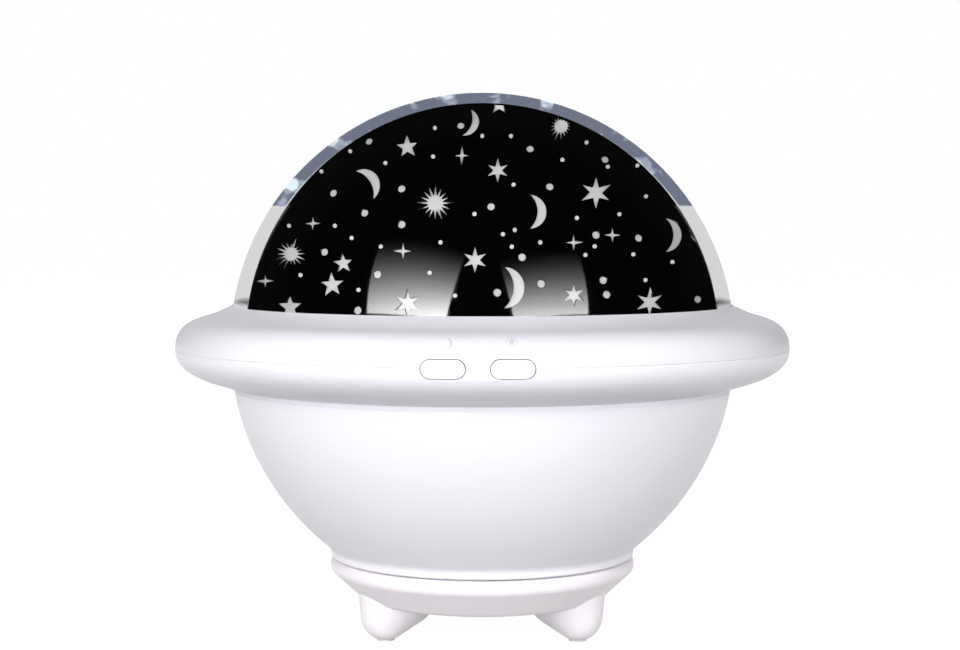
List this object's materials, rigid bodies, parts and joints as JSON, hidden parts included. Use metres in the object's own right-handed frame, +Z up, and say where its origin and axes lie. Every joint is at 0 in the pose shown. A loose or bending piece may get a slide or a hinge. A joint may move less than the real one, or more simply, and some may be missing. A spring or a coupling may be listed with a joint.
{
  "type": "star night light projector",
  "caption": "Star projector night light: black star film under a clear dome on a white flared collar with two buttons, turning on a low three-footed stand.",
  "frame": {"origin": "centre of the footprint on the table, on the axis that the lamp turns on", "axes": "+Z up, -Y towards the front with the two buttons, +X to the right seen from the front"},
  "size_m": [0.1452, 0.1452, 0.1283],
  "materials": {
    "white_abs": "moulded gloss",
    "button_abs": "moulded gloss",
    "silicone": "soft matt",
    "acetal": "moulded satin",
    "steel": "zinc plated",
    "gearbox_plastic": "moulded matt",
    "cell_wrap": "shrink wrap",
    "board_green": "solder mask",
    "black_parts": "moulded matt",
    "lamp_board": "white solder mask",
    "lamp_lens": "clear lens over phosphor",
    "lead_sleeve": "PVC sleeve",
    "frosted_film": "frosted",
    "black_film": "gloss",
    "clear_dome": "clear moulded, frosted foot"
  },
  "bodies": {
    "stand": {"stand": "white_abs", "foot_pads": "silicone", "drive_ring": "acetal", "drive_ring_screws": "steel", "glide_ring": "acetal", "pivot_washer": "steel", "pivot_screw": "steel"},
    "lamp_body": {"bowl": "white_abs", "lower_ring": "white_abs", "collar": "white_abs", "housing_screws": "steel", "gearbox": "gearbox_plastic", "gearbox_screws": "steel", "motor_can": "steel", "battery_cell": "cell_wrap", "control_board": "board_green", "board_parts": "black_parts", "board_screws": "steel", "usb_socket": "steel", "switch_board": "board_green", "tact_switches": "black_parts", "led_riser": "white_abs", "riser_screws": "steel", "led_board": "lamp_board", "led_chips": "lamp_lens", "lead_wires": "lead_sleeve"},
    "pinion": {"drive_pinion": "acetal"},
    "left_button": {"left_button": "button_abs"},
    "right_button": {"right_button": "button_abs"},
    "film": {"film_carrier": "frosted_film", "star_mask": "black_film", "film_ring": "black_film"},
    "cover": {"dome_cover": "clear_dome"}
  },
  "joints": [
    {"name": "body_spin", "type": "hinge", "parent": "stand", "child": "lamp_body", "pos_m": [0, 0, 0.0162], "axis": [0, 0, 1], "continuous": true},
    {"name": "pinion_spin", "type": "hinge", "parent": "lamp_body", "child": "pinion", "pos_m": [-0.0192, 0, 0.0162], "axis": [0, 0, 1], "continuous": true},
    {"name": "left_press", "type": "slide", "parent": "lamp_body", "child": "left_button", "axis": [0, 1, 0], "range_m": [0, 0.0006], "stiffness_N_per_m": 800},
    {"name": "right_press", "type": "slide", "parent": "lamp_body", "child": "right_button", "axis": [0, 1, 0], "range_m": [0, 0.0006], "stiffness_N_per_m": 800},
    {"name": "cover_lift", "type": "slide", "parent": "lamp_body", "child": "cover", "axis": [0, 0, 1], "range_m": [0, 0.14]},
    {"name": "film_lift", "type": "slide", "parent": "lamp_body", "child": "film", "axis": [0, 0, 1], "range_m": [0, 0.07]}
  ],
  "couplings": [
    {"joint": "pinion_spin", "follows": "body_spin", "ratio": -5},
    {"joint": "film_lift", "follows": "cover_lift", "ratio": 0.5}
  ]
}
